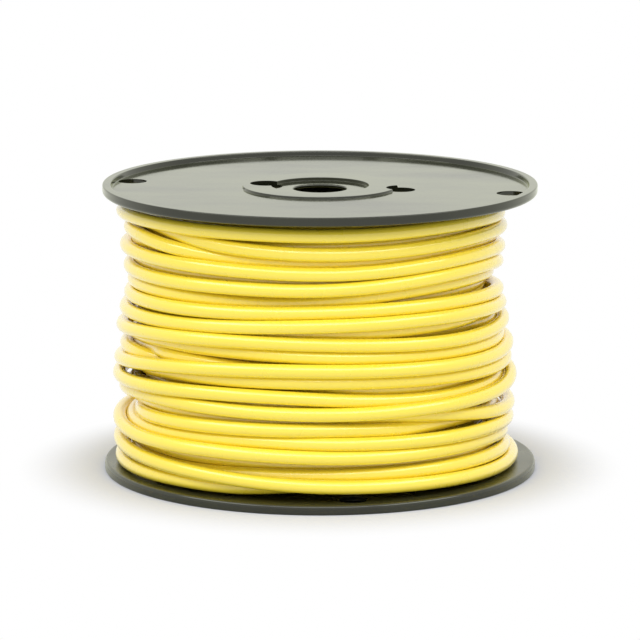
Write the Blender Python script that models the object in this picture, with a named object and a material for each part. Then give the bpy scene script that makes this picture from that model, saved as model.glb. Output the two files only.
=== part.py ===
"""Wire spool: two like moulded flanges on a drum barrel, wound with one length of insulated wire.

The spool stands on its bottom flange. The origin is the middle of the base, and +Z is the spool's axis.
The outer layer of the winding is one unbroken tube. The layers below it are one plain ring.
"""

from math import ceil, cos, pi, radians, sin

import bmesh
import bpy
from mathutils import Matrix, Vector
from mathutils.kdtree import KDTree

# Driving dimensions, in metres and degrees.

# Flanges
FLANGE_RADIUS = 0.0525
FLANGE_WEB = 0.0011           # thickness of the plain field
TRAVERSE = 0.0654             # clear height between the flanges' inner faces
RIM_RISE = 0.0012             # the rim bead stands this high above the field
RIM_WIDTH = 0.0020
RIM_DRAFT = 0.0003
RIM_ROUND = 0.0003            # small rounds on the bead
EDGE_ROUND = 0.0008           # large round at the inner face's outer edge
PLATEAU_RADIUS = 0.0186
PLATEAU_RISE = 0.00055
PLATEAU_DRAFT = 0.0002
COUNTERBORE_RADIUS = 0.0118
COUNTERBORE_DEPTH = 0.0008
BORE_RADIUS = 0.0064          # runs on a 12.7 mm (1/2 inch) arbor rod
BORE_LIP = 0.0004
SPIGOT_LENGTH = 0.0050        # the ring inside the flange that enters the barrel
SPIGOT_WALL = 0.0014

# Holes of each flange, all on one line through its centre
TIE_HOLE_RADIUS = 0.00345
TIE_HOLE_INSET = 0.0059       # from the rim to the hole's centre
START_HOLE_RADIUS = 0.0035
START_HOLE_STEP = 0.0012      # from the barrel's surface to the hole's centre
DRIVE_HOLE_RADIUS = 0.0039
DRIVE_HOLE_OFFSET = 0.0133
TOP_LINE_ANGLE = -11.5        # direction of the start hole, top flange
BOTTOM_LINE_ANGLE = -80.5     # the same, bottom flange

# Drum barrel
BARREL_RADIUS = 0.0186
BARREL_WALL = 0.0014

# Wire and winding
WIRE_RADIUS = 0.00165         # 12 AWG building wire, 3.3 mm over its insulation
CONDUCTOR_RADIUS = 0.00103
CONDUCTOR_LENGTH = 0.0030     # of copper modelled at each cut end
WINDING_MARGIN = 0.0054       # at mid height the outer layer stops this far short of the rim
WINDING_TAPER = 0.038         # radius gained for each unit of height lost
WINDING_LEAN = 0.0032         # the winding sits off the axis by this much
WINDING_LEAN_ANGLE = -120.0
OUTER_TURNS = 18.5
START_DIVE = 0.0037           # the outer layer comes up from this far down
START_RAMP_ANGLE = 52.0
OUT_CLIMB = 0.0039            # the last turn rides this far outside the layer
OUT_CLIMB_ANGLE = 32.0
END_RISE_ANGLE = 50.0
END_BEND_RADIUS = 0.0070
END_OFF_CENTRE = 0.0015       # the outer end stands this far out in the tie hole
WIRE_END_HEIGHT = 0.0007      # both cut ends lie this high above the ground

# Clearances
SEAT_GAP = 0.0003             # between pieces that touch
SPIGOT_CLEARANCE = 0.0003
LAYER_GAP = 0.00035           # between the outer layer and the ring below it
CONDUCTOR_GAP = 0.0002        # between the copper and its insulation

# Facets
FLANGE_SEGMENTS = 64
HOLE_SEGMENTS = 24
WINDING_SEGMENTS = 24
WIRE_SIDES = 6
BEND_POINTS = 6
ARC_STEPS = 3

# Derived places
RIM_HEIGHT = FLANGE_WEB + RIM_RISE
BOTTOM_FACE = RIM_HEIGHT
TOP_FACE = BOTTOM_FACE + TRAVERSE
OVERALL_HEIGHT = TOP_FACE + RIM_HEIGHT
MIDDLE_HEIGHT = OVERALL_HEIGHT / 2
TIE_HOLE_OFFSET = FLANGE_RADIUS - TIE_HOLE_INSET
START_HOLE_OFFSET = BARREL_RADIUS + START_HOLE_STEP
BARREL_INSIDE = BARREL_RADIUS - BARREL_WALL
WINDING_RADIUS = FLANGE_RADIUS - WINDING_MARGIN
END_RADIUS = TIE_HOLE_OFFSET + END_OFF_CENTRE
WIRE_FLAT = WIRE_RADIUS * cos(pi / WIRE_SIDES)
SOCKET_RADIUS = (CONDUCTOR_RADIUS + CONDUCTOR_GAP) / cos(pi / WIRE_SIDES)
SOCKET_DEPTH = CONDUCTOR_LENGTH + SEAT_GAP
TOP_TURN = TOP_FACE - SEAT_GAP - WIRE_FLAT
BOTTOM_TURN = BOTTOM_FACE + SEAT_GAP + WIRE_FLAT
BEND_TOP = WIRE_END_HEIGHT + 2 * WIRE_RADIUS + END_BEND_RADIUS
TIE_ANGLE = radians(BOTTOM_LINE_ANGLE + 180)
STATION = 2 * pi / WINDING_SEGMENTS


# Materials and objects

def plain_material(name, colour, roughness, metallic=0.0):
    """A Principled material with one colour."""
    material = bpy.data.materials.new(name)
    material.use_nodes = True
    shader = material.node_tree.nodes["Principled BSDF"]
    shader.inputs["Base Color"].default_value = (*colour, 1.0)
    shader.inputs["Roughness"].default_value = roughness
    shader.inputs["Metallic"].default_value = metallic
    return material


def add_object(name, mesh, material=None):
    """Link a mesh to the scene under the given name."""
    piece = bpy.data.objects.new(name, mesh)
    bpy.context.scene.collection.objects.link(piece)
    if material:
        mesh.materials.append(material)
    return piece


def finished_mesh(name, builder, smooth_below=32.0):
    """Turn a bmesh into a mesh with outward faces, shaded smooth below the given angle."""
    bmesh.ops.recalc_face_normals(builder, faces=builder.faces)
    mesh = bpy.data.meshes.new(name)
    builder.to_mesh(mesh)
    builder.free()
    mesh.shade_smooth()
    mesh.set_sharp_from_angle(angle=radians(smooth_below))
    return mesh


def turned(name, profile, segments):
    """Turn a closed profile of (radius, height) points about +Z."""
    builder = bmesh.new()
    rings = []
    for index in range(segments):
        turn = 2 * pi * index / segments
        ring = [builder.verts.new((r * cos(turn), r * sin(turn), z)) for r, z in profile]
        rings.append(ring)
    count = len(profile)
    for index, ring in enumerate(rings):
        other = rings[(index + 1) % segments]
        for k in range(count):
            after = (k + 1) % count
            builder.faces.new((ring[k], ring[after], other[after], other[k]))
    return finished_mesh(name, builder)


def prism(name, outline, low, high):
    """Raise a closed outline of (x, y) points from one height to another."""
    builder = bmesh.new()
    base = [builder.verts.new((x, y, low)) for x, y in outline]
    face = builder.faces.new(base)
    raised = bmesh.ops.extrude_face_region(builder, geom=[face])
    moved = [item for item in raised["geom"] if isinstance(item, bmesh.types.BMVert)]
    bmesh.ops.translate(builder, verts=moved, vec=(0, 0, high - low))
    return finished_mesh(name, builder)


def circle(radius, segments, x=0.0, y=0.0):
    """Points round a circle in the XY plane."""
    turns = [2 * pi * index / segments for index in range(segments)]
    return [(x + radius * cos(turn), y + radius * sin(turn)) for turn in turns]


def arc(centre_r, centre_z, radius, start, end):
    """Points along an arc of a profile, from one angle to another in degrees."""
    steps = [start + (end - start) * k / ARC_STEPS for k in range(ARC_STEPS + 1)]
    return [(centre_r + radius * cos(radians(a)), centre_z + radius * sin(radians(a))) for a in steps]


def boolean(piece, cutter, operation):
    """Cut a piece with a hidden object, or join it on."""
    cutter.hide_render = True
    cutter.display_type = "WIRE"
    modifier = piece.modifiers.new(operation.title(), "BOOLEAN")
    modifier.operation = operation
    modifier.solver = "EXACT"
    modifier.object = cutter


# Flanges

def flange_profile():
    """Section of one flange: its inner face at height 0, its outer side up."""
    plateau = FLANGE_WEB + PLATEAU_RISE
    floor = plateau - COUNTERBORE_DEPTH
    spigot = BARREL_INSIDE - SPIGOT_CLEARANCE
    rim_inside = FLANGE_RADIUS - RIM_WIDTH
    bead_inside = rim_inside + RIM_ROUND
    bead_outside = FLANGE_RADIUS - RIM_ROUND
    bead = RIM_HEIGHT - RIM_ROUND
    profile = [(BORE_RADIUS, 0.0)]
    profile += [(BORE_RADIUS, floor - BORE_LIP), (BORE_RADIUS + BORE_LIP, floor)]
    profile += [(COUNTERBORE_RADIUS, floor), (COUNTERBORE_RADIUS, plateau)]
    profile += [(PLATEAU_RADIUS, plateau), (PLATEAU_RADIUS + PLATEAU_DRAFT, FLANGE_WEB)]
    profile += [(rim_inside - RIM_DRAFT, FLANGE_WEB)]
    profile += arc(bead_inside, bead, RIM_ROUND, 180, 90)
    profile += arc(bead_outside, bead, RIM_ROUND, 90, 0)
    profile += arc(FLANGE_RADIUS - EDGE_ROUND, EDGE_ROUND, EDGE_ROUND, 0, -90)
    profile += [(spigot, 0.0), (spigot, -SPIGOT_LENGTH)]
    profile += [(spigot - SPIGOT_WALL, -SPIGOT_LENGTH), (spigot - SPIGOT_WALL, 0.0)]
    return profile


def flange_holes(name, placing):
    """One hidden cutter with a flange's four round holes in it."""
    builder = bmesh.new()
    holes = [(START_HOLE_OFFSET, START_HOLE_RADIUS), (-DRIVE_HOLE_OFFSET, DRIVE_HOLE_RADIUS)]
    holes += [(TIE_HOLE_OFFSET, TIE_HOLE_RADIUS), (-TIE_HOLE_OFFSET, TIE_HOLE_RADIUS)]
    depth = SPIGOT_LENGTH + RIM_HEIGHT + 2 * RIM_RISE
    middle = RIM_HEIGHT + RIM_RISE - depth / 2
    for offset, radius in holes:
        bmesh.ops.create_cone(
            builder, cap_ends=True, segments=HOLE_SEGMENTS, radius1=radius, radius2=radius,
            depth=depth, matrix=Matrix.Translation((offset, 0, middle)))
    cutter = add_object(name, finished_mesh(name, builder))
    cutter.matrix_world = placing
    return cutter


def add_flange(name, placing):
    """One flange, turned from its profile, with its holes cut."""
    plastic = plain_material(name, (0.035, 0.036, 0.034), 0.35)
    flange = add_object(name, turned(name, flange_profile(), FLANGE_SEGMENTS), plastic)
    flange.matrix_world = placing
    boolean(flange, flange_holes(name + "_holes", placing), "DIFFERENCE")
    return flange


def add_flanges():
    """The same moulding twice: the bottom one is turned over and set at another angle."""
    upright = Matrix.Rotation(radians(TOP_LINE_ANGLE), 4, "Z")
    add_flange("top_flange", Matrix.Translation((0, 0, TOP_FACE)) @ upright)
    turned_over = Matrix.Rotation(radians(BOTTOM_LINE_ANGLE), 4, "Z") @ Matrix.Rotation(pi, 4, "X")
    add_flange("bottom_flange", Matrix.Translation((0, 0, BOTTOM_FACE)) @ turned_over)


# Drum barrel

def add_barrel():
    """The tube between the flanges, over their spigots."""
    low = BOTTOM_FACE + SEAT_GAP
    high = TOP_FACE - SEAT_GAP
    profile = [(BARREL_INSIDE, low), (BARREL_RADIUS, low)]
    profile += [(BARREL_RADIUS, high), (BARREL_INSIDE, high)]
    plastic = plain_material("drum_barrel", (0.030, 0.030, 0.030), 0.45)
    add_object("drum_barrel", turned("drum_barrel", profile, FLANGE_SEGMENTS), plastic)


# Winding

def lean_at(angle):
    """How far the leaning winding stands out of the axis's circle in one direction."""
    return WINDING_LEAN * cos(angle - radians(WINDING_LEAN_ANGLE))


def layer_radius(angle, height):
    """Distance from the axis to the wire's centre in the outer layer."""
    taper = (MIDDLE_HEIGHT - height) * WINDING_TAPER
    return WINDING_RADIUS - WIRE_RADIUS + taper + lean_at(angle)


def ease(share):
    """A smooth step from 0 to 1."""
    share = min(max(share, 0.0), 1.0)
    return share * share * (3 - 2 * share)


def cylinder_point(angle, radius, height=0.0):
    """A point given by its angle, its distance from the axis and its height."""
    return Vector((radius * cos(angle), radius * sin(angle), height))


# Angles along the outer layer's route, counted back from the tie hole that its end goes through
BEND_ANGLE = TIE_ANGLE - END_BEND_RADIUS / END_RADIUS
RISE_ANGLE = BEND_ANGLE - radians(END_RISE_ANGLE)
CLIMB_ANGLE = RISE_ANGLE - radians(OUT_CLIMB_ANGLE)
WALL_ANGLE = CLIMB_ANGLE - 2 * pi * OUTER_TURNS


def wound_point(angle):
    """The wire's centre at one angle of its route, between its first end and its last bend.

    It comes up out of the inner layers while it winds down from the top flange. At the bottom
    flange it rides out over the layer, and then rises to the bend that stands over the tie hole.
    """
    share = min((angle - WALL_ANGLE) / (CLIMB_ANGLE - WALL_ANGLE), 1.0)
    rise = ease((angle - RISE_ANGLE) / (BEND_ANGLE - RISE_ANGLE))
    height = TOP_TURN + (BOTTOM_TURN - TOP_TURN) * share + (BEND_TOP - BOTTOM_TURN) * rise
    dive = START_DIVE * (1 - ease((angle - WALL_ANGLE) / radians(START_RAMP_ANGLE)))
    climb = OUT_CLIMB * ease((angle - CLIMB_ANGLE) / (RISE_ANGLE - CLIMB_ANGLE))
    radius = layer_radius(angle, height) - dive + climb
    return cylinder_point(angle, radius + (END_RADIUS - radius) * rise, height)


def outer_layer_route():
    """Centre line of the outer layer, as points that each come with their outward direction.

    Both ends run straight for one diameter: the first away from the wall that it meets, the last
    down through the tie hole.
    """
    outward = cylinder_point(WALL_ANGLE, 1)
    along = cylinder_point(WALL_ANGLE + pi / 2, 1)
    first = wound_point(WALL_ANGLE) + along * SEAT_GAP
    route = [(first, outward), (first + along * 2 * WIRE_RADIUS, outward)]
    straight_end = WALL_ANGLE + 2 * WIRE_RADIUS / first.length
    station = ceil(straight_end / STATION + 0.4)
    while station * STATION < BEND_ANGLE - 0.4 * STATION:
        route.append((wound_point(station * STATION), cylinder_point(station * STATION, 1)))
        station += 1
    outward = cylinder_point(TIE_ANGLE, 1)
    along = cylinder_point(TIE_ANGLE + pi / 2, 1)
    for step in range(BEND_POINTS + 1):
        turn = pi / 2 * step / BEND_POINTS
        back = END_BEND_RADIUS * (1 - sin(turn))
        height = BEND_TOP - END_BEND_RADIUS * (1 - cos(turn))
        route.append((cylinder_point(TIE_ANGLE, END_RADIUS, height) - along * back, outward))
    route.append((cylinder_point(TIE_ANGLE, END_RADIUS, WIRE_END_HEIGHT), outward))
    return route


def wire_rings(route):
    """For each point of the route, the wire's centre, run and six ways out, one of them outward."""
    rings = []
    for index, (centre, outward) in enumerate(route):
        before = route[max(index - 1, 0)][0]
        after = route[min(index + 1, len(route) - 1)][0]
        run = (after - before).normalized()
        side = (outward - run * outward.dot(run)).normalized()
        other = run.cross(side)
        turns = [2 * pi * k / WIRE_SIDES for k in range(WIRE_SIDES)]
        rings.append((centre, run, [side * cos(turn) + other * sin(turn) for turn in turns]))
    return rings


def least_gap(rings):
    """Least distance between two turns' surfaces, on points a fifth of a facet apart."""
    surface = []
    for index in range(len(rings) - 1):
        centre, run, ways = rings[index]
        later_centre, later_run, later_ways = rings[index + 1]
        for way, later_way in zip(ways, later_ways):
            here = centre + way * WIRE_RADIUS
            there = later_centre + later_way * WIRE_RADIUS
            surface += [(index, here.lerp(there, share / 5)) for share in range(5)]
    tree = KDTree(len(surface))
    for number, (index, place) in enumerate(surface):
        tree.insert(place, number)
    tree.balance()
    least = WIRE_RADIUS
    for index, place in surface:
        for found, number, distance in tree.find_range(place, WIRE_RADIUS):
            if abs(surface[number][0] - index) > WINDING_SEGMENTS / 3:
                least = min(least, distance)
    return least


def add_outer_turns():
    """The outer layer as one tube, with a socket for the conductor in its last end."""
    rings = wire_rings(outer_layer_route())
    print("outer turns: least gap to itself %.2f mm" % (1000 * least_gap(rings)))
    builder = bmesh.new()
    loops = []
    for centre, run, ways in rings:
        loops.append([builder.verts.new(centre + way * WIRE_RADIUS) for way in ways])
    centre, run, ways = rings[-1]
    loops.append([builder.verts.new(centre + way * SOCKET_RADIUS) for way in ways])
    deep = centre - run * SOCKET_DEPTH
    loops.append([builder.verts.new(deep + way * SOCKET_RADIUS) for way in ways])
    for here, there in zip(loops, loops[1:]):
        for k in range(WIRE_SIDES):
            after = (k + 1) % WIRE_SIDES
            builder.faces.new((here[k], here[after], there[after], there[k]))
    builder.faces.new(loops[0])
    builder.faces.new(loops[-1])
    insulation = plain_material("wire_outer_turns", (0.95, 0.78, 0.12), 0.35)
    add_object("wire_outer_turns", finished_mesh("wire_outer_turns", builder, 62.0), insulation)


def ring_body():
    """The inner layers as one leaning ring, whose facets match those of the layer above."""
    low = BOTTOM_FACE + SEAT_GAP
    high = TOP_FACE - SEAT_GAP
    builder = bmesh.new()
    loops = []
    for height in (low, high):
        turns = [STATION * k for k in range(WINDING_SEGMENTS)]
        depth = WIRE_RADIUS + LAYER_GAP
        places = [cylinder_point(turn, layer_radius(turn, height) - depth, height) for turn in turns]
        loops.append([builder.verts.new(place) for place in places])
    for k in range(WINDING_SEGMENTS):
        after = (k + 1) % WINDING_SEGMENTS
        builder.faces.new((loops[0][k], loops[0][after], loops[1][after], loops[1][k]))
    builder.faces.new(loops[0])
    builder.faces.new(loops[1])
    return finished_mesh("wire_inner_layers", builder)


def start_channel():
    """Hidden cutter for the place where the outer layer comes up out of the inner layers."""
    steps = int(START_RAMP_ANGLE // 10)
    turns = [WALL_ANGLE + radians(START_RAMP_ANGLE) * k / steps for k in range(steps + 1)]
    depth = START_DIVE + WIRE_RADIUS + LAYER_GAP
    outline = [cylinder_point(turn, layer_radius(turn, TOP_TURN) - depth) for turn in turns]
    outline += [cylinder_point(turn, FLANGE_RADIUS) for turn in reversed(turns)]
    fall = (TOP_TURN - BOTTOM_TURN) / OUTER_TURNS * START_RAMP_ANGLE / 360
    low = TOP_TURN - WIRE_FLAT - fall - SEAT_GAP
    places = [(place.x, place.y) for place in outline]
    return add_object("start_channel", prism("start_channel", places, low, TOP_FACE))


def round_cutter(name, radius, segments, place, low, high):
    """A hidden round bar that stands at one place."""
    return add_object(name, prism(name, circle(radius, segments, place.x, place.y), low, high))


def inner_end_place():
    """Where the wire's inner end stands, in the start hole beside the barrel."""
    hole_edge = START_HOLE_OFFSET + START_HOLE_RADIUS
    return cylinder_point(radians(BOTTOM_LINE_ANGLE), (BARREL_RADIUS + hole_edge) / 2)


def add_inner_layers():
    """The ring of inner layers, round the barrel, with the wire's inner end below it."""
    insulation = plain_material("wire_inner_layers", (0.95, 0.78, 0.12), 0.35)
    ring = add_object("wire_inner_layers", ring_body(), insulation)
    axis = Vector()
    bore = BARREL_RADIUS + SEAT_GAP
    boolean(ring, round_cutter("wound_bore", bore, FLANGE_SEGMENTS, axis, 0, OVERALL_HEIGHT), "DIFFERENCE")
    boolean(ring, start_channel(), "DIFFERENCE")
    place = inner_end_place()
    sides = 2 * WIRE_SIDES
    stub_top = BOTTOM_FACE + SOCKET_DEPTH
    stub = round_cutter("inner_end", WIRE_RADIUS, sides, place, WIRE_END_HEIGHT, stub_top)
    boolean(ring, stub, "UNION")
    socket_top = WIRE_END_HEIGHT + SOCKET_DEPTH
    socket = round_cutter("inner_socket", SOCKET_RADIUS, sides, place, 0, socket_top)
    boolean(ring, socket, "DIFFERENCE")


# Conductor

def add_conductor(name, place):
    """The end of the copper conductor, in the middle of a cut end of the wire."""
    copper = plain_material(name, (0.85, 0.42, 0.24), 0.3, 1.0)
    outline = circle(CONDUCTOR_RADIUS, 2 * WIRE_SIDES, place.x, place.y)
    high = WIRE_END_HEIGHT + CONDUCTOR_LENGTH
    add_object(name, prism(name, outline, WIRE_END_HEIGHT, high), copper)


def build():
    """Clear the scene and make every piece."""
    for existing in list(bpy.data.objects):
        bpy.data.objects.remove(existing)
    add_flanges()
    add_barrel()
    add_inner_layers()
    add_outer_turns()
    add_conductor("inner_conductor_end", inner_end_place())
    add_conductor("outer_conductor_end", cylinder_point(TIE_ANGLE, END_RADIUS))


build()
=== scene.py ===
from math import cos, pi, radians, sin, tau

import bmesh
import bpy
import numpy as np
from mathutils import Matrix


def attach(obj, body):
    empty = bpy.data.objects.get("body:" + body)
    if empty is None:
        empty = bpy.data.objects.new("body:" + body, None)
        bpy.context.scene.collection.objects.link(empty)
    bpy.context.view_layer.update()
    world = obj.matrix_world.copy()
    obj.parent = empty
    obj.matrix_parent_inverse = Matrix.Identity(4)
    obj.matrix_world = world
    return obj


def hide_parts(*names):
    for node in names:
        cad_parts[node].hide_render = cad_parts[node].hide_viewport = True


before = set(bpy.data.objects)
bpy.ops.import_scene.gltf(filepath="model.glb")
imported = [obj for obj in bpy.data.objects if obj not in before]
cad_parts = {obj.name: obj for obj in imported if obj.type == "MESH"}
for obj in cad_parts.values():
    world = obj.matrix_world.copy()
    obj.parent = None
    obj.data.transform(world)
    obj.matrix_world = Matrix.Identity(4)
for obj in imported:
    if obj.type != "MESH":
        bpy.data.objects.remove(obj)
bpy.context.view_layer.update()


# Stage: the spool stands on a white table in a bright white room, with three soft lamps in
# front and above. The camera is a metre away and a little higher, with a long lens.

CAMERA_PLACE = (0.0, -0.96489, 0.22184)
CAMERA_PITCH = 0.19014
CAMERA_LENS = 227.47
SENSOR_WIDTH = 36.0
TABLE_HALF = 3.0
SHADE_NEAR, SHADE_FAR = 0.0525, 0.075      # the table's shade fades out between these, from the axis
WALL_LIGHT = 0.74
LAMP_ANGLES = (-155.0, -90.0, -25.0)
LAMP_AWAY = 1.1
LAMP_RISE = radians(48.0)
LAMP_WIDTH, LAMP_DEPTH = 0.85, 0.34
LAMP_POWER = 2.9


class Socket:
    """An output of a shader node. Arithmetic on it adds Math nodes; node() adds any other node."""

    def __init__(self, tree, output=None):
        self.tree = tree
        self.output = output

    def plug(self, target, value):
        """Give an input a link or a constant."""
        if isinstance(value, Socket):
            self.tree.links.new(value.output, target)
        elif isinstance(value, tuple) and len(value) == 3 and len(target.default_value) == 4:
            target.default_value = (*value, 1.0)
        else:
            target.default_value = value

    def node(self, kind, settings=None, output=0, **inputs):
        """Add a node: its settings first, then its inputs by name, or by place as _0, _1."""
        made = self.tree.nodes.new(kind)
        for name, value in (settings or {}).items():
            if name == "stops":
                ramp = made.color_ramp.elements
                for place, colour in value[2:]:
                    ramp.new(place)
                for stop, (place, colour) in zip(ramp, value):
                    stop.position = place
                    grey = (colour, colour, colour)
                    stop.color = (*(colour if isinstance(colour, tuple) else grey), 1.0)
            else:
                setattr(made, name, value)
        for name, value in inputs.items():
            self.plug(made.inputs[int(name[1:]) if name[0] == "_" else name.replace("_", " ")], value)
        return Socket(self.tree, made.outputs[output])

    def math(self, operation, *values):
        """One Math node, with this value first."""
        inputs = {f"_{place}": value for place, value in enumerate((self, *values))}
        return self.node("ShaderNodeMath", {"operation": operation}, **inputs)

    def __add__(self, other):
        return self.math("ADD", other)

    def __mul__(self, other):
        return self.math("MULTIPLY", other)

    def __sub__(self, other):
        return self.math("SUBTRACT", other)

    def __rsub__(self, other):
        return self * -1.0 + other

    __radd__ = __add__
    __rmul__ = __mul__

    def ramp(self, *stops):
        """A colour ramp over this value, from stops of a place and a colour or a grey."""
        return self.node("ShaderNodeValToRGB", {"stops": stops}, Fac=self)

    def noise(self, scale, detail):
        """Cloudy values from 0 to 1, at one scale of this place in space."""
        return self.node("ShaderNodeTexNoise", Vector=self, Scale=scale, Detail=detail)

    def blend(self, first, second):
        """From the first colour to the second by this value."""
        return self.node("ShaderNodeMix", {"data_type": "RGBA"}, output=2, _0=self, _6=first, _7=second)


def finish_of(name):
    """A new material: itself, a Socket that adds nodes to it, and the input for its surface."""
    material = bpy.data.materials.new(name)
    material.use_nodes = True
    tree = material.node_tree
    tree.nodes.clear()
    return material, Socket(tree), tree.nodes.new("ShaderNodeOutputMaterial").inputs["Surface"]


def place_in_scene(name, mesh, material):
    """Link a mesh to the scene under a name, with its material."""
    mesh.materials.clear()
    mesh.materials.append(material)
    piece = bpy.data.objects.new(name, mesh)
    bpy.context.scene.collection.objects.link(piece)
    return piece


def white_where_seen(make, plain, bright):
    """The bright shader to the camera and in glossy reflections, and the plain one to all other light."""
    seen = make.node("ShaderNodeLightPath", output="Is Camera Ray")
    glossy = make.node("ShaderNodeLightPath", output="Is Glossy Ray")
    return make.node("ShaderNodeMixShader", _0=seen.math("MAXIMUM", glossy), _1=plain, _2=bright)


camera_lens = bpy.data.cameras.new("camera")
camera_lens.sensor_width = SENSOR_WIDTH
camera_lens.lens = CAMERA_LENS
camera = bpy.data.objects.new("camera", camera_lens)
camera.location = CAMERA_PLACE
camera.rotation_euler = (pi / 2 - CAMERA_PITCH, 0.0, 0.0)
bpy.context.scene.collection.objects.link(camera)
bpy.context.scene.camera = camera
bpy.context.scene.view_settings.view_transform = "Standard"

white_table, make, surface = finish_of("white_table")
paper = make.node("ShaderNodeBsdfDiffuse", Color=(0.68, 0.69, 0.72))
far_white = make.node("ShaderNodeEmission", Color=(1.0, 1.0, 1.0), Strength=1.0)
place = make.node("ShaderNodeTexCoord", output="Object")
away = make.node("ShaderNodeVectorMath", {"operation": "LENGTH"}, output="Value", _0=place)
fade = away.node(
    "ShaderNodeMapRange", {"interpolation_type": "SMOOTHSTEP"}, _0=away, _1=SHADE_NEAR, _2=SHADE_FAR)
faded = make.node("ShaderNodeMixShader", _0=fade, _1=paper, _2=far_white)
make.plug(surface, white_where_seen(make, paper, faded))
table_mesh = bpy.data.meshes.new("table")
corners = [(x * TABLE_HALF, y * TABLE_HALF, 0.0) for x, y in ((-1, -1), (1, -1), (1, 1), (-1, 1))]
table_mesh.from_pydata(corners, [], [(0, 1, 2, 3)])
place_in_scene("table", table_mesh, white_table)

room = bpy.data.worlds.new("room")
bpy.context.scene.world = room
room.use_nodes = True
room.node_tree.nodes.clear()
make = Socket(room.node_tree)
walls = make.node("ShaderNodeBackground", Color=(1.0, 1.0, 1.0), Strength=WALL_LIGHT)
white = make.node("ShaderNodeBackground", Color=(1.0, 1.0, 1.0), Strength=1.0)
surface = room.node_tree.nodes.new("ShaderNodeOutputWorld").inputs["Surface"]
make.plug(surface, white_where_seen(make, walls, white))

for number, lamp_angle in enumerate(np.radians(LAMP_ANGLES)):
    lamp_light = bpy.data.lights.new(f"soft_lamp_{number}", "AREA")
    lamp_light.shape = "RECTANGLE"
    lamp_light.size = LAMP_WIDTH
    lamp_light.size_y = LAMP_DEPTH
    lamp_light.energy = LAMP_POWER
    lamp = bpy.data.objects.new(f"soft_lamp_{number}", lamp_light)
    level = LAMP_AWAY * cos(LAMP_RISE)
    lamp.location = (level * cos(lamp_angle), level * sin(lamp_angle), LAMP_AWAY * sin(LAMP_RISE))
    lamp.rotation_euler = (pi / 2 - LAMP_RISE, 0.0, lamp_angle + pi / 2)
    bpy.context.scene.collection.objects.link(lamp)


# Flanges: two discs of black polystyrene, both from the same injection mould, with a beaded rim
# and a raised hub round the bore. The bottom one is turned over and set 69 degrees round. Each has
# a start hole by the hub, a drive hole and two tie holes at the rim, all on one line.

FLANGE_RADIUS = 52.5
FLANGE_WEB = 1.1
RIM_HEIGHT = 2.3
RIM_WIDTH = 2.0
RIM_DRAFT = 0.3
RIM_ROUND = 0.3
EDGE_ROUND = 0.8
HUB_RADIUS = 18.6
HUB_RISE = 0.55
HUB_DRAFT = 0.2
BORE_ROUND = 0.35
COUNTERBORE_RADIUS = 11.8
COUNTERBORE_DEPTH = 0.8
BORE_RADIUS = 6.4
SPIGOT_RADIUS = 16.9
SPIGOT_WALL = 1.4
SPIGOT_LENGTH = 5.0
TOP_FACE = 67.7
BOTTOM_FACE = 2.3
TOP_LINE_ANGLE = radians(-11.5)
BOTTOM_LINE_ANGLE = radians(-80.5)
FLANGE_HOLES = ((19.8, 3.5), (-13.3, 3.9), (46.6, 3.45), (-46.6, 3.45))     # place on the line, radius
PIN_REACH = 9.0
FLANGE_SEGMENTS = 192
HOLE_SEGMENTS = 64
ROUND_STEPS = 4
FLAT_EDGE = 0.04              # a second point this far from each rounding keeps the flats flat
SLIVER = 0.002                # points that the cutting leaves nearer than this become one
FLANGE_SHARP, CUT_SHARP = 32.0, 40.0       # edges past these angles stay sharp: of flanges, of cut wire
MIDDLE_HEIGHT = 35.0
INNER_SIDE = 32.9             # up to here from mid height a flange is satin, as its mould leaves it, and its colour there holds a painted olive reflection of the yellow winding
MM = 0.001


def skin(name, grids, closed_along=False, lengths=None):
    """One mesh over grids of points, each closed across: a cell joins a point to its next ones.

    A grid that isn't closed along gets a flat face at each end. Where the lengths along the grids
    are given, the UV map along_wire holds them, and beside them the share of the way round.
    """
    cells, ends, charts, first = [], [], [], 0
    for place, grid in enumerate(grids):
        rows, columns = grid.shape[:2]
        number = first + np.arange(rows * columns).reshape(rows, columns)
        low = number if closed_along else number[:-1]
        high = np.roll(number, -1, axis=0) if closed_along else number[1:]
        square = [low, np.roll(low, -1, axis=1), np.roll(high, -1, axis=1), high]
        cells.append(np.stack(square, axis=-1).reshape(-1, 4))
        if not closed_along:
            ends += [number[0, ::-1], number[-1]]
        if lengths:
            step, length = np.arange(columns) / columns, lengths[place]
            chart = np.empty((rows - 1, columns, 4, 2))
            chart[..., 0] = np.stack([length[:-1], length[:-1], length[1:], length[1:]], axis=1)[:, None]
            chart[..., 1] = np.stack([step, step + 1 / columns, step + 1 / columns, step], axis=1)
            charts.append(chart.reshape(-1, 2))
        first += rows * columns
    cells = np.concatenate(cells)
    corners = np.concatenate([cells.reshape(-1), *ends])
    sizes = np.array([4] * len(cells) + [len(end) for end in ends])
    mesh = bpy.data.meshes.new(name)
    mesh.vertices.add(first)
    points = np.concatenate([grid.reshape(-1) for grid in grids])
    mesh.vertices.foreach_set("co", (points * MM).astype(np.float32))
    mesh.loops.add(len(corners))
    mesh.loops.foreach_set("vertex_index", corners.astype(np.int32))
    mesh.polygons.add(len(sizes))
    mesh.polygons.foreach_set("loop_start", (np.cumsum(sizes) - sizes).astype(np.int32))
    if lengths:
        chart = np.zeros((len(corners), 2), np.float32)
        chart[:cells.size] = np.concatenate(charts)
        mesh.uv_layers.new(name="along_wire").data.foreach_set("uv", chart.reshape(-1))
    mesh.update(calc_edges=True)
    mesh.validate()
    return mesh


def around(angle):
    """Unit vectors out from the axis."""
    return np.stack([np.cos(angle), np.sin(angle), np.zeros_like(angle)], axis=-1)


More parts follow.
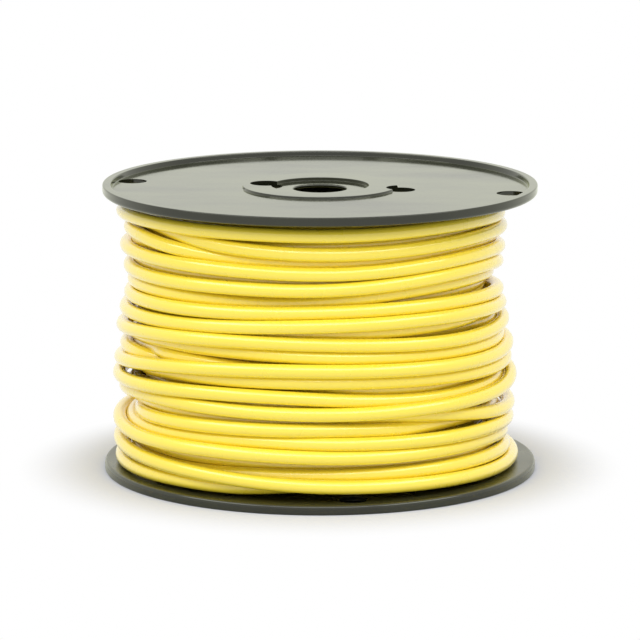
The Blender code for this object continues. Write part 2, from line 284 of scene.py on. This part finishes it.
def round_corner(before, here, after, radius):
    """The arc that touches both sides of a corner, and a point on each side next to it."""
    one = (before - here) / np.linalg.norm(before - here)
    two = (after - here) / np.linalg.norm(after - here)
    half = np.arccos(np.clip(one @ two, -1, 1)) / 2
    reach = radius / np.tan(half)
    middle = here + (one + two) / np.linalg.norm(one + two) * radius / np.sin(half)
    start, end = here + one * reach - middle, here + two * reach - middle
    turn = np.linspace(0, 1, ROUND_STEPS + 1)[:, None]
    angle = pi - 2 * half
    arc = (np.sin((1 - turn) * angle) * start + np.sin(turn * angle) * end) / np.sin(angle)
    return middle + np.concatenate([start[None] + one * FLAT_EDGE, arc, end[None] + two * FLAT_EDGE])


def rounded(corners):
    """A section from corners (radius out, height, rounding), with every corner rounded as asked."""
    corners = np.array(corners)
    points = corners[:, :2]
    sides = zip(np.roll(points, 1, axis=0), points, np.roll(points, -1, axis=0), corners[:, 2])
    return np.concatenate([round_corner(*side) for side in sides])


def turned(name, section, segments):
    """A closed section carried round the axis: (r, z) goes to (r cos a, r sin a, z)."""
    grid = section[:, :1, None] * around(np.arange(segments) * tau / segments)
    grid[..., 2] = section[:, 1:]
    return skin(name, [grid], closed_along=True)


def flange_section():
    """Section of a flange, its inner face at height 0 and its outer side up."""
    hub = FLANGE_WEB + HUB_RISE
    floor = hub - COUNTERBORE_DEPTH
    inside = FLANGE_RADIUS - RIM_WIDTH
    spigot_inside = SPIGOT_RADIUS - SPIGOT_WALL
    return rounded([
        (BORE_RADIUS, 0.0, 0.1), (BORE_RADIUS, floor, BORE_ROUND),
        (COUNTERBORE_RADIUS, floor, 0.12), (COUNTERBORE_RADIUS, hub, 0.12),
        (HUB_RADIUS, hub, 0.12), (HUB_RADIUS + HUB_DRAFT, FLANGE_WEB, 0.15),
        (inside - RIM_DRAFT, FLANGE_WEB, 0.2), (inside, RIM_HEIGHT, RIM_ROUND),
        (FLANGE_RADIUS, RIM_HEIGHT, RIM_ROUND), (FLANGE_RADIUS, 0.0, EDGE_ROUND),
        (SPIGOT_RADIUS, 0.0, 0.1), (SPIGOT_RADIUS, -SPIGOT_LENGTH, 0.2),
        (spigot_inside, -SPIGOT_LENGTH, 0.2), (spigot_inside, 0.0, 0.1)])


def moulded_flange(name):
    """The turned disc, with its holes cut by round pins. Points that nearly meet are then joined."""
    turn = (np.arange(HOLE_SEGMENTS) + 0.5) * tau / HOLE_SEGMENTS
    ends = np.array([(0.0, 0.0, -PIN_REACH), (0.0, 0.0, PIN_REACH)])[:, None]
    grids = [around(turn) * radius + (offset, 0.0, 0.0) + ends for offset, radius in FLANGE_HOLES]
    disc = bpy.data.objects.new(name, turned(name, flange_section()[::-1], FLANGE_SEGMENTS))
    pins = bpy.data.objects.new("pins", skin("pins", grids))
    for piece in (disc, pins):
        bpy.context.scene.collection.objects.link(piece)
    cut = disc.modifiers.new("holes", "BOOLEAN")
    cut.solver = "EXACT"
    cut.object = pins
    bpy.context.view_layer.update()
    holed = bpy.data.meshes.new_from_object(disc.evaluated_get(bpy.context.evaluated_depsgraph_get()))
    for piece in (disc, pins):
        bpy.data.objects.remove(piece)
    cleaned = bmesh.new()
    cleaned.from_mesh(holed)
    bmesh.ops.remove_doubles(cleaned, verts=cleaned.verts, dist=SLIVER * MM)
    bmesh.ops.dissolve_degenerate(cleaned, edges=cleaned.edges, dist=SLIVER * MM)
    bmesh.ops.triangulate(cleaned, faces=[face for face in cleaned.faces if len(face.verts) > 4])
    cleaned.to_mesh(holed)
    cleaned.free()
    return holed


def smooth(mesh, sharp):
    """Smooth shading, but for edges sharper than an angle."""
    mesh.shade_smooth()
    mesh.set_sharp_from_angle(angle=radians(sharp))
    return mesh


def placed(mesh, angle, height, turned_over=False):
    """A copy of a mesh, turned over or not, turned about the axis and lifted."""
    copy = mesh.copy()
    points = np.empty(len(copy.vertices) * 3, np.float32)
    copy.vertices.foreach_get("co", points)
    x, y, z = points.reshape(-1, 3).T * (np.array([[1], [-1], [-1]]) if turned_over else 1)
    x, y = x * cos(angle) - y * sin(angle), x * sin(angle) + y * cos(angle)
    copy.vertices.foreach_set("co", np.stack([x, y, z + height * MM], axis=1).reshape(-1).astype(np.float32))
    copy.update()
    return smooth(copy, FLANGE_SHARP)


def flange_plastic():
    """Black polystyrene: glossy and finely wiped outside, satin inside, where a lighter olive colour is a
    painted reflection of the yellow winding.
    """
    material, make, surface = finish_of("flange_black_plastic")
    place = make.node("ShaderNodeTexCoord", output="Object")
    cloud = place.noise(60.0, 4.0)
    gloss = cloud.ramp((0.3, (0.011, 0.012, 0.008)), (0.7, (0.016, 0.017, 0.012)))
    # painted reflection: the inner faces' colour is lifted to olive to stand for the yellow winding mirrored
    # in them
    painted_olive_reflection = cloud.ramp((0.3, (0.040, 0.037, 0.014)), (0.7, (0.048, 0.045, 0.018)))
    height = place.node("ShaderNodeSeparateXYZ", output="Z", _0=place)
    inside = (height - MIDDLE_HEIGHT * MM).math("ABSOLUTE").math("LESS_THAN", INNER_SIDE * MM)
    colour = inside.blend(gloss, painted_olive_reflection)
    wiped = make.node("ShaderNodeMapping", Vector=place, Scale=(1.0, 3.0, 1.0))
    smears = wiped.noise(22.0, 4.0)
    rough = smears.ramp((0.35, 0.09), (0.75, 0.18)) + inside * 0.16
    grain = make.node("ShaderNodeBump", Strength=0.05, Distance=0.0001, Height=place.noise(900.0, 2.0))
    make.plug(surface, make.node(
        "ShaderNodeBsdfPrincipled", Base_Color=colour, Roughness=rough, Normal=grain,
        Coat_Weight=(1.0 - inside * 0.3) * smears.ramp((0.3, 0.38), (0.7, 0.20)), Coat_Roughness=0.08,
        Coat_Tint=(0.94, 1.0, 0.5)))
    return material


black_plastic = flange_plastic()
flange_mesh = moulded_flange("flange")
top_mesh = placed(flange_mesh, TOP_LINE_ANGLE, TOP_FACE)
bottom_mesh = placed(flange_mesh, BOTTOM_LINE_ANGLE, BOTTOM_FACE, turned_over=True)
top_flange = place_in_scene("top_flange_moulding", top_mesh, black_plastic)
bottom_flange = place_in_scene("bottom_flange_moulding", bottom_mesh, black_plastic)
for piece, node in ((top_flange, "top_flange"), (bottom_flange, "bottom_flange")):
    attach(piece, "root")
    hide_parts(node)


# Drum barrel: a plain tube of the same black plastic between the two flanges, pushed over their
# spigots. The winding hides it all but its ends, which show in the start holes.

def barrel_plastic():
    """Black plastic with fine lines along the tube, as it is drawn from the die."""
    material, make, surface = finish_of("barrel_black_plastic")
    place = make.node("ShaderNodeTexCoord", output="Object")
    drawn = make.node("ShaderNodeMapping", Vector=place, Scale=(1.0, 1.0, 0.02))
    lines = drawn.noise(900.0, 3.0)
    colour = lines.ramp((0.3, (0.024, 0.024, 0.024)), (0.7, (0.034, 0.034, 0.033)))
    grain = make.node("ShaderNodeBump", Strength=0.2, Distance=0.0002, Height=lines)
    make.plug(surface, make.node("ShaderNodeBsdfPrincipled", Base_Color=colour, Roughness=0.45, Normal=grain))
    return material


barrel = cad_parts["drum_barrel"]
barrel.data.materials.clear()
barrel.data.materials.append(barrel_plastic())


# Outer turns: the last of thirty metres of 12-gauge building wire, a stranded copper conductor in
# a glossy yellow jacket 3.3 mm thick. It is wound loosely, so turns sink between, cross and bulge
# over each other. The end goes down behind through a tie hole of the bottom flange.

WIRE_RADIUS = 1.65
CONDUCTOR_RADIUS = 1.03
STATIONS = 150                # points of the wire for each turn
WIRE_SIDES = 18
WINDING_RADIUS = 45.45        # of the wire's centre in the outermost turns, at mid height
WINDING_TAPER = 0.038
WINDING_LEAN = 3.2
WINDING_LEAN_ANGLE = radians(-120.0)
DEEPEST = 6.4                 # turns sink no further than this below the outermost ones
FRONT_RADIUS = 46.9           # the heights below hold for a turn that is this far out in front
CAMERA_HEIGHT, CAMERA_AWAY = CAMERA_PLACE[2] / MM, -CAMERA_PLACE[1] / MM
BACK_SAG = 1.2                # turns run this much lower behind, but not near the bottom flange
SAG_FROM, SAG_OVER = 6.0, 10.0
FIRST_END = -0.25             # in turns from the start of the first row
FIRST_DIVE = 4.0              # the first end comes up from this far below, over a share of a turn
FIRST_DIVE_SHARE = 0.22
ROW_SOFTENING = 24
TIE_ANGLE = BOTTOM_LINE_ANGLE + pi
END_RADIUS = 48.1
END_BEND_RADIUS = 7.0
END_RISE_ANGLE = radians(30.0)             # the last stretch rises to its bend from here on
END_OUT_ANGLE = radians(50.0)              # and reaches its radius here
END_POINTS = 8                # the last points, which stay where they are
BEND_POINTS = 13
BEND_OVERLAP = 3              # the last points before the bend, left out where it joins
WIRE_END_HEIGHT = 0.7
CUT_CHAMFER = 0.12
SOCKET_PLAY, SOCKET_DEPTH = 0.06, 3.3      # round the copper, and into the jacket
BEND_TOP = WIRE_END_HEIGHT + 2 * WIRE_RADIUS + END_BEND_RADIUS
BEND_ANGLE = TIE_ANGLE - END_BEND_RADIUS / END_RADIUS
TIE_ROOM_ANGLE, TIE_ROOM_ABOVE = radians(6.0), 2.0     # no other turn crosses the bend here
SETTLING_STEPS = 220
PULLING_STEPS = 205           # the last steps only push the turns apart
PUSH = 0.3
RADIUS_SOFTENING, HEIGHT_SOFTENING = 3, 2
RADIUS_PULL, HEIGHT_PULL = 0.02, 0.06
LAST_SOFTENING = 4
SUNKEN = 2.6                  # a turn this far below the outermost ones gives way fully
SHOWN_SLACK, BEHIND_SLACK = 0.08, 0.5      # against 1 more for a sunken turn
SHOWN_GIVE, BEHIND_GIVE, SUNKEN_GIVE = 0.05, 0.3, 0.2     # in height, for each step out or in
FLANGE_GAP = 0.02
HEIGHTS, DEPTHS = 13, 7       # in each row

# One row for each turn, in the order of winding. Thirteen heights of the wire's centre, every 15
# degrees from the left side across the front to the right side, then seven depths below the
# outermost turns, every 30 degrees, all in millimetres.
TURNS = np.array([
    (57.4, 58.3, 58.8, 59.6, 61, 62.2, 62.3, 62.3, 62.8, 63.2, 62.9, 62, 61,
     2.2, 2.8, 3.8, 2.9, 2.8, 2.8, 2.8),
    (62.6, 63.8, 64.2, 62.3, 61.2, 60.6, 60.1, 60.3, 60.8, 61.3, 61.6, 60.9, 59.7,
     3, 2.8, 0.3, 0, 0, 0, 0),
    (63.5, 64.4, 64.8, 64.7, 64.8, 64.9, 64.6, 64.7, 65.2, 65.3, 65, 64.2, 63,
     -2.1, 0, 0, 0, 0, 0, -0.4),
    (59.8, 60.8, 60.9, 59.4, 58.8, 58.3, 57.8, 58, 58.7, 59.3, 59.7, 58.9, 57.3,
     1.1, 1.6, 2.1, 2.3, 2.3, 2, 1.8),
    (58.2, 58.4, 58.5, 58, 57.4, 57, 56.7, 56.9, 57.6, 58.1, 58.3, 57.5, 56,
     3.2, 3.2, 3.4, 3.4, 3.4, 3.4, 3.4),
    (55.6, 56, 56.1, 56.2, 56.2, 55.9, 55.5, 55.8, 56.6, 57.1, 57.2, 56.4, 54.9,
     -0.6, 0, 0, 0, 0, 0, 0.4),
    (53.3, 53.6, 53.8, 54, 54.1, 54, 53.5, 53.8, 54.4, 54.9, 54.9, 54, 52.9,
     2.8, 2.8, 2.8, 2.8, 2.8, 2.8, 2.8),
    (50.7, 51.2, 51.4, 51.6, 51.9, 51.9, 51.6, 52.5, 53.5, 54, 54.3, 53, 50.9,
     0.8, 0.3, 0, 0, -0.2, 0.2, 2.4),
    (47.2, 48.1, 48.5, 48.5, 48.8, 47.8, 48.3, 50.2, 51.3, 51.3, 51.3, 50.4, 49,
     2, 0.8, 1.6, 2.4, 1.8, 2.4, 4.4),
    (41.9, 42.4, 42.7, 43.2, 44.2, 45.3, 46.9, 48.4, 49.1, 48.9, 48.9, 48.1, 46.8,
     3, 3, 3.2, 4.2, 4.4, 4.6, 5),
    (43.8, 44.8, 45.3, 45.4, 45.9, 46.2, 46.7, 46.9, 47.1, 46.7, 46.4, 45.7, 44.75,
     1.5, 0, 0, 0, 0, 0, 1.1),
    (40.1, 41, 41.5, 41.6, 42.3, 43.4, 43.9, 43.9, 44.2, 43.9, 43.5, 42.6, 41.3,
     1.5, 0, 0, 0, 0, 0, 0.6),
    (38.6, 39.6, 40.3, 40.8, 41.2, 41.4, 41.8, 41.7, 42.1, 41.9, 41.9, 41, 39.9,
     2.8, 2.8, 2.8, 2.8, 2.8, 2.8, 2.8),
    (36.2, 37.2, 38, 38.6, 39, 39.4, 39.8, 40.1, 40.2, 40, 40.1, 39.6, 38.6,
     3.6, 3.2, 3, 3, 3, 3, 3),
    (35.4, 36.9, 38.1, 38.9, 39.5, 39.6, 39.4, 38.9, 38.1, 37.9, 37.7, 37.6, 37.8,
     0.9, 0, 0, 0.2, 0.3, 0.3, 0.1),
    (33.9, 35.3, 36.3, 36.6, 36.9, 36.6, 36.1, 35.7, 35.3, 35, 34.7, 34.1, 34.3,
     1.4, 1.2, 0.6, 0.4, 0.3, 0.6, 0.7),
    (33, 34.3, 35.1, 35, 34.8, 34.6, 34.5, 34.3, 34.1, 33.8, 33.6, 33.2, 32.6,
     4.2, 3.6, 3, 2.9, 2.9, 2.9, 2.9),
    (31.8, 33.9, 34.5, 34, 33, 32.2, 31.8, 31.5, 31.2, 30.9, 30.6, 30.1, 29.6,
     2.2, 2.2, 2.8, 2.9, 2.9, 2.9, 2.9),
    (27.3, 28.9, 30.3, 31.6, 32.5, 33.2, 33.2, 32.9, 32.5, 32.1, 31.7, 31.4, 32.2,
     -1.4, -0.4, 0, 0, 0, -0.2, -1.1),
    (31, 32.2, 31.9, 31.6, 31.2, 30.6, 29.6, 28.3, 27.4, 27.1, 26.9, 26.5, 26,
     0.2, 2.2, 3, 3, 2.6, 2.6, 2.6),
    (27.8, 29, 29.8, 29.4, 29.9, 30.2, 30.3, 30, 29.7, 29.2, 28.6, 28.1, 28.5,
     3, 2, 0.4, 0, 0, 0, -0.8),
    (23.9, 24.6, 25.2, 26.1, 26.6, 26.9, 26.5, 25.2, 24.5, 24.7, 25, 24.9, 24.5,
     -1.3, -0.5, 0, 0.2, 1.6, 1.8, 1.7),
    (19, 20.2, 20.9, 20.6, 20.7, 20.6, 20.7, 21.2, 21.7, 20.1, 18.2, 16.8, 16.9,
     2.9, 2.9, 2.9, 2.9, 1.4, -0.6, -1.4),
    (20.6, 21.9, 22.9, 23, 23, 22.6, 22.7, 22.5, 23, 23, 23.1, 22.9, 25,
     0.8, 0, 0, 0, -1, -0.8, -2),
    (22.6, 23.6, 24.3, 24.8, 25, 24.9, 24.8, 24.6, 23.8, 23.4, 22, 20.9, 20.2,
     2.9, 2.9, 2.9, 2.9, 2.9, 2.9, 2.9),
    (15.6, 16.8, 17.6, 18.1, 18.6, 18.8, 18.7, 18.6, 18.4, 18.5, 18.2, 17.3, 16.4,
     4.4, 0.8, 0, 0.2, 1.4, 2.6, 3.2),
    (13.9, 14, 14.2, 14.8, 15.5, 15.85, 15.7, 15.35, 15.1, 15.1, 14.9, 14.2, 12.9,
     2.2, 0.5, 0, 0, 0, 0, -0.8),
    (14.1, 13, 12.4, 13, 13.1, 12.85, 12.5, 12.3, 12, 12.05, 12.1, 11.3, 9.2,
     -0.5, -0.4, 0, 0, 0, 0.2, 1.6),
    (10.6, 10.8, 10.8, 10.4, 10.1, 10.2, 10.1, 10.1, 9.9, 9.9, 10, 9.3, 8.2,
     2.9, 2.9, 2.9, 2.9, 2.9, 2.9, 2.9),
    (8.4, 8, 7.5, 7.2, 7.1, 7.5, 7.85, 7.9, 7.9, 7.9, 7.8, 7.3, 6.3,
     2.9, 2.9, 2.3, 0.6, 0.4, 0.4, 0.4),
    (4, 4, 4, 4.2, 5, 5.7, 6.2, 6.2, 6.2, 6.2, 6.2, 5.8, 5.3,
     0, -0.2, 2.4, 3.8, 3.8, 3.6, 3.2),
    (8.95, 8.4, 7.9, 7.4, 6.9, 6.1, 5.5, 5.3, 5.1, 4.8, 4.3, 4.05, 4,
     -0.6, -0.7, 0, 0, 0, -0.8, -1.1),
])

# Some turns cross behind the spool, on their way from a row to the next one: how much deeper than
# their rows they run there. The numbers of the rows that they leave come first.
CROSSINGS = {2: -2.0, 3: 1.6, 9: -3.0, 10: 1.0}


def winding_radius(angle, height):
    """Radius of the outermost turns: it grows as height falls, and leans to one side by a cosine."""
    taper = (MIDDLE_HEIGHT - height) * WINDING_TAPER
    return WINDING_RADIUS + taper + WINDING_LEAN * np.cos(angle - WINDING_LEAN_ANGLE)


def softened(values, passes):
    """Each value moved to the mean of itself and its neighbours, again and again; the ends stay."""
    values = values.copy()
    for _ in range(passes):
        values[1:-1] = (values[:-2] + 2 * values[1:-1] + values[2:]) / 4
    return values


def ease(share):
    """A smooth step from 0 to 1: 3s^2 - 2s^3."""
    share = np.clip(share, 0.0, 1.0)
    return share * share * (3 - 2 * share)


def joined_rows(angle):
    """Heights and depths along the rows, joined behind the spool into one wire."""
    share = (angle + pi) / tau
    rows = np.arange(len(TURNS))[:, None]
    height_at = (rows + np.linspace(0, 0.5, HEIGHTS)).reshape(-1)
    depth_at = (rows + np.linspace(0, 0.5, DEPTHS)).reshape(-1)
    height = np.interp(share, height_at, TURNS[:, :HEIGHTS].reshape(-1))
    depth = np.interp(share, depth_at, TURNS[:, HEIGHTS:].reshape(-1))
    behind = np.clip(np.sin(angle), 0.0, 1.0)
    height -= BACK_SAG * behind * np.clip((height - SAG_FROM) / SAG_OVER, 0.0, 1.0)
    depth += FIRST_DIVE * ease(-share / FIRST_DIVE_SHARE)
    for row, deeper in CROSSINGS.items():
        depth += deeper * np.sin(pi * np.clip((share - row + 0.5) * 2, 0, 1)) ** 2
    return softened(height, ROW_SOFTENING), softened(depth, ROW_SOFTENING)


def settled_turns():
    """Angle, radius and height of the wire's centre, from its first end to the bend at the tie hole.

    Wherever two turns are nearer than one wire's thickness they push each other apart, most of all
    in radius, while the wire's stiffness evens it out and a weak pull brings it back to its row.
    Sunken turns give way most, and only hidden ones give way much in height.
    """
    turns = len(TURNS)
    angle = np.arange(-1, turns, 1 / STATIONS) * tau - pi + 1e-9     # row k starts at k turns on the left
    height, depth = joined_rows(angle)
    last_row = tau * (turns - 1)
    start = np.searchsorted(angle, FIRST_END * tau - pi)
    end = np.searchsorted(angle, last_row + BEND_ANGLE) + 1
    last = angle[:end] - last_row
    rise = ease((last - END_RISE_ANGLE) / (BEND_ANGLE - END_RISE_ANGLE))
    height[:end] += (BEND_TOP - height[:end]) * rise
    radius = winding_radius(angle, height) - depth
    ahead = np.clip(-np.sin(angle), 0.0, 1.0)
    height += ahead * (radius - FRONT_RADIUS) * (CAMERA_HEIGHT - height) / CAMERA_AWAY
    radius[:end] += (END_RADIUS - radius[:end]) * ease(last / END_OUT_ANGLE)

    shape = (turns + 1, STATIONS)
    there = np.zeros(len(angle), bool)
    there[start:end] = True
    there = there.reshape(shape)
    pairs = there[:, None] & there[None] & ~np.eye(turns + 1, dtype=bool)[:, :, None]
    rest_height, rest_radius = height.copy(), radius.copy()
    deepest = winding_radius(angle, height) - DEEPEST
    lowest, highest = BOTTOM_FACE + WIRE_RADIUS + FLANGE_GAP, TOP_FACE - WIRE_RADIUS - FLANGE_GAP
    near_tie = np.abs((angle - TIE_ANGLE + pi) % tau - pi) < TIE_ROOM_ANGLE
    behind = ease(np.sin(angle) * 2.0 + 0.2)
    sunken = ease(depth / SUNKEN)
    slack = (SHOWN_SLACK + sunken + BEHIND_SLACK * behind).reshape(shape)
    yields = 2 * slack[:, None] / (slack[:, None] + slack[None])
    give = SHOWN_GIVE + BEHIND_GIVE * behind + SUNKEN_GIVE * sunken
    for step in range(SETTLING_STEPS):
        high, out = height.reshape(shape), radius.reshape(shape)
        dz, dr = high[:, None] - high[None], out[:, None] - out[None]
        gap = np.sqrt(dz * dz + dr * dr) + 1e-6
        push = np.where(pairs, np.maximum(2 * WIRE_RADIUS - gap, 0.0), 0.0) / gap * PUSH * yields
        radius = radius + (push * dr).sum(axis=1).reshape(-1)
        height = height + (push * dz).sum(axis=1).reshape(-1) * give
        if step < PULLING_STEPS:
            radius[start:end] = softened(radius[start:end], RADIUS_SOFTENING)
            height[start:end] = softened(height[start:end], HEIGHT_SOFTENING)
            radius += (rest_radius - radius) * RADIUS_PULL
            height += (rest_height - height) * HEIGHT_PULL
        radius = np.maximum(radius, deepest)
        crowded = near_tie & (height < BEND_TOP + TIE_ROOM_ABOVE) & (angle < last_row)
        radius = np.where(crowded, np.minimum(radius, END_RADIUS - 2 * WIRE_RADIUS), radius)
        height = np.clip(height, lowest, highest)
        radius[end - END_POINTS:end] = END_RADIUS
        height[end - END_POINTS:end] = rest_height[end - END_POINTS:end]
    free = slice(start, end - END_POINTS)
    radius[free] = softened(radius[free], LAST_SOFTENING)
    height[free] = softened(height[free], LAST_SOFTENING)
    return angle[start:end], radius[start:end], height[start:end]


def wire_tube(centre, outward, radii, sides):
    """Rings of points round a line: centre + radius (cos t out + sin t up), out square to the run."""
    run = np.gradient(centre, axis=0)
    run /= np.linalg.norm(run, axis=1, keepdims=True)
    out = outward - run * (outward * run).sum(axis=1, keepdims=True)
    out /= np.linalg.norm(out, axis=1, keepdims=True)
    up = np.cross(run, out)
    turn = np.arange(sides) * tau / sides
    round_it = np.cos(turn)[:, None] * out[:, None] + np.sin(turn)[:, None] * up[:, None]
    return centre[:, None] + radii[:, None, None] * round_it


def down_to_cut(angle, radius, heights):
    """Points straight down over a place, through some heights and on to the wire's cut end."""
    heights = np.array([*heights, WIRE_END_HEIGHT + CUT_CHAMFER, WIRE_END_HEIGHT])
    line = np.repeat(around(np.array([angle])) * radius, len(heights), axis=0)
    line[:, 2] = heights
    return line


def outer_wire():
    """The wire's centre line down to its cut end, and its outward directions."""
    angle, radius, height = (values[:-BEND_OVERLAP] for values in settled_turns())
    wound = around(angle) * radius[:, None]
    wound[:, 2] = height
    turn = np.linspace(0, pi / 2, BEND_POINTS)
    tie_out, tie_along = around(np.array([TIE_ANGLE, TIE_ANGLE + pi / 2]))
    bend = tie_out * END_RADIUS - tie_along * (END_BEND_RADIUS * (1 - np.sin(turn)))[:, None]
    bend[:, 2] = BEND_TOP - END_BEND_RADIUS * (1 - np.cos(turn))
    drop = down_to_cut(TIE_ANGLE, END_RADIUS, (2.6, 1.6))
    centre = np.concatenate([wound, bend, drop])
    outward = np.concatenate([around(angle), np.repeat(tie_out[None], len(bend) + len(drop), axis=0)])
    return centre, outward


def run_length(centre):
    """Length along a line of points, in metres."""
    return np.concatenate([[0.0], np.cumsum(np.linalg.norm(np.diff(centre, axis=0), axis=1)) * MM])


def cut_wire(centre, outward):
    """The grid of a jacket whose last end is hollow, to hold the copper, and the lengths along it."""
    radii = np.full(len(centre), WIRE_RADIUS)
    radii[-1] -= CUT_CHAMFER
    rings = wire_tube(centre, outward, radii, WIRE_SIDES)
    tip = centre[-1]
    back = (centre[-2] - tip) / np.linalg.norm(centre[-2] - tip)
    lip = tip + (rings[-1] - tip) * ((CONDUCTOR_RADIUS + SOCKET_PLAY) / radii[-1])
    grid = np.concatenate([rings, lip[None], lip[None] + back * SOCKET_DEPTH])
    length = run_length(centre)
    return grid, np.append(length, [length[-1], length[-1]])


def yellow_jacket():
    """Glossy yellow vinyl under clear nylon, with faint drawn streaks along the wire."""
    material, make, surface = finish_of("yellow_wire_jacket")
    chart = make.node("ShaderNodeUVMap", {"uv_map": "along_wire"})
    place = make.node("ShaderNodeTexCoord", output="Object")
    drawn = make.node("ShaderNodeMapping", Vector=chart, Scale=(18.0, 9.0, 1.0))
    streaks = drawn.noise(1.0, 3.0)
    colour = streaks.ramp((0.25, (0.97, 0.765, 0.038)), (0.75, (1.0, 0.80, 0.052)))
    rough = place.noise(120.0, 3.0).ramp((0.3, 0.25), (0.75, 0.33))
    dents = make.node("ShaderNodeBump", Strength=0.05, Distance=0.0002, Height=place.noise(160.0, 2.0))
    make.plug(surface, make.node(
        "ShaderNodeBsdfPrincipled", Base_Color=colour, Roughness=rough, Normal=dents,
        IOR=1.6, Coat_Weight=1.0, Coat_Roughness=0.19))
    return material


wire_jacket = yellow_jacket()
turns_grid, turns_length = cut_wire(*outer_wire())
turns_mesh = smooth(skin("outer_wire_turns", [turns_grid], lengths=[turns_length]), CUT_SHARP)
outer_turns = place_in_scene("outer_wire_turns", turns_mesh, wire_jacket)
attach(outer_turns, "root")
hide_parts("wire_outer_turns")


# Inner layers: the turns below, laid closely side by side in layers from the barrel out. Only the
# outermost of them shows, in gaps of the loose turns, and the ends of the others at the flanges.
# The wire's inner end stands in the start hole of the bottom flange.

LAYERS = 7
LAYER_TURNS = 19
LAYER_GAP = 0.05              # from the flanges
FIRST_LAYER_RADIUS = 20.35
LAST_LAYER_RADIUS = 39.6
SHORT_LAYERS = 2              # the first layers stop this far below the top flange
SHORT_BY = 12.0
HIDDEN_SIDES, HIDDEN_STATIONS = 10, 48     # of the wire's section, and points for each turn
SHOWN_SIDES, SHOWN_STATIONS = 12, 96
INNER_END_RADIUS = 20.95


def wound_layer(radius, lean, first, last, turns, sides, stations):
    """Turns side by side: a helix from one height to another, on a circle that leans by a cosine."""
    angle = np.linspace(0, tau * turns, int(stations * turns) + 1)
    centre = around(angle) * (radius + lean * np.cos(angle - WINDING_LEAN_ANGLE))[:, None]
    centre[:, 2] = np.linspace(first, last, len(angle))
    return wire_tube(centre, around(angle), np.full(len(angle), WIRE_RADIUS), sides), run_length(centre)


low, high = BOTTOM_FACE + WIRE_RADIUS + LAYER_GAP, TOP_FACE - WIRE_RADIUS - LAYER_GAP
pitch = (high - low) / LAYER_TURNS
grids, lengths = [], []
for layer in range(LAYERS):
    share = layer / (LAYERS - 1)
    radius = FIRST_LAYER_RADIUS + (LAST_LAYER_RADIUS - FIRST_LAYER_RADIUS) * share
    first = low + pitch / 2 * (layer % 2)
    turns = LAYER_TURNS - layer % 2 - (int(SHORT_BY / pitch) + 1) * (layer < SHORT_LAYERS)
    detail = (SHOWN_SIDES, SHOWN_STATIONS) if layer == LAYERS - 1 else (HIDDEN_SIDES, HIDDEN_STATIONS)
    lean = WINDING_LEAN * share ** 2
    grid, length = wound_layer(radius, lean, first, first + pitch * turns, turns, *detail)
    grids.append(grid)
    lengths.append(length)
inner_line = down_to_cut(BOTTOM_LINE_ANGLE, INNER_END_RADIUS, (6.0, 4.5, 3.0, 1.6))
inner_outward = np.repeat(around(np.array([BOTTOM_LINE_ANGLE])), len(inner_line), axis=0)
grid, length = cut_wire(inner_line, inner_outward)
inner_mesh = skin("inner_wire_layers", grids + [grid], lengths=lengths + [length])
inner_layers = place_in_scene("inner_wire_layers", smooth(inner_mesh, CUT_SHARP), wire_jacket)
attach(inner_layers, "root")
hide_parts("wire_inner_layers")


# Conductor ends: nineteen bare copper strands laid round each other, one in the middle, six round
# it and twelve round those, cut off with the jacket.

STRAND_RADIUS = CONDUCTOR_RADIUS / 5
STRAND_SIDES = 10
STRAND_RINGS = ((0, 1), (2, 6), (4, 12))   # radius in strand radii, number of strands
STRAND_RISES = np.array([0.0, 0.03, 0.8, 1.6, 2.4, 3.0])
TWIST = 0.16                  # radians for each millimetre of length
RING_TURN = 0.3               # each ring is set round by this, for each strand radius


def strands(angle, radius):
    """The grids of nineteen short twisted strands at a place, their cut ends a little rounded."""
    place = around(np.array([angle]))[0] * radius
    thickness = np.array([0.85, 1, 1, 1, 1, 1]) * STRAND_RADIUS
    round_it = around(np.arange(STRAND_SIDES) * tau / STRAND_SIDES)
    grids = []
    for ring, count in STRAND_RINGS:
        for number in range(count):
            turn = tau * number / count + ring * RING_TURN + STRAND_RISES * TWIST
            centre = around(turn) * (ring * STRAND_RADIUS) + place
            centre[:, 2] = WIRE_END_HEIGHT + STRAND_RISES
            grids.append(centre[:, None] + thickness[:, None, None] * round_it)
    return grids


def bare_copper():
    """Bright drawn copper, a little darker in places."""
    material, make, surface = finish_of("bare_copper")
    place = make.node("ShaderNodeTexCoord", output="Object")
    colour = place.noise(900.0, 3.0).ramp((0.3, (0.78, 0.36, 0.19)), (0.7, (0.93, 0.50, 0.30)))
    rough = place.noise(1500.0, 2.0).ramp((0.3, 0.22), (0.7, 0.38))
    make.plug(surface, make.node(
        "ShaderNodeBsdfPrincipled", Base_Color=colour, Metallic=1.0, Roughness=rough))
    return material


copper = bare_copper()
for node, angle, radius in (
        ("inner_conductor_end", BOTTOM_LINE_ANGLE, INNER_END_RADIUS),
        ("outer_conductor_end", TIE_ANGLE, END_RADIUS)):
    bundle = skin(node + "_strands", strands(angle, radius))
    piece = place_in_scene(node + "_strands", smooth(bundle, CUT_SHARP), copper)
    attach(piece, "root")
    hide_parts(node)
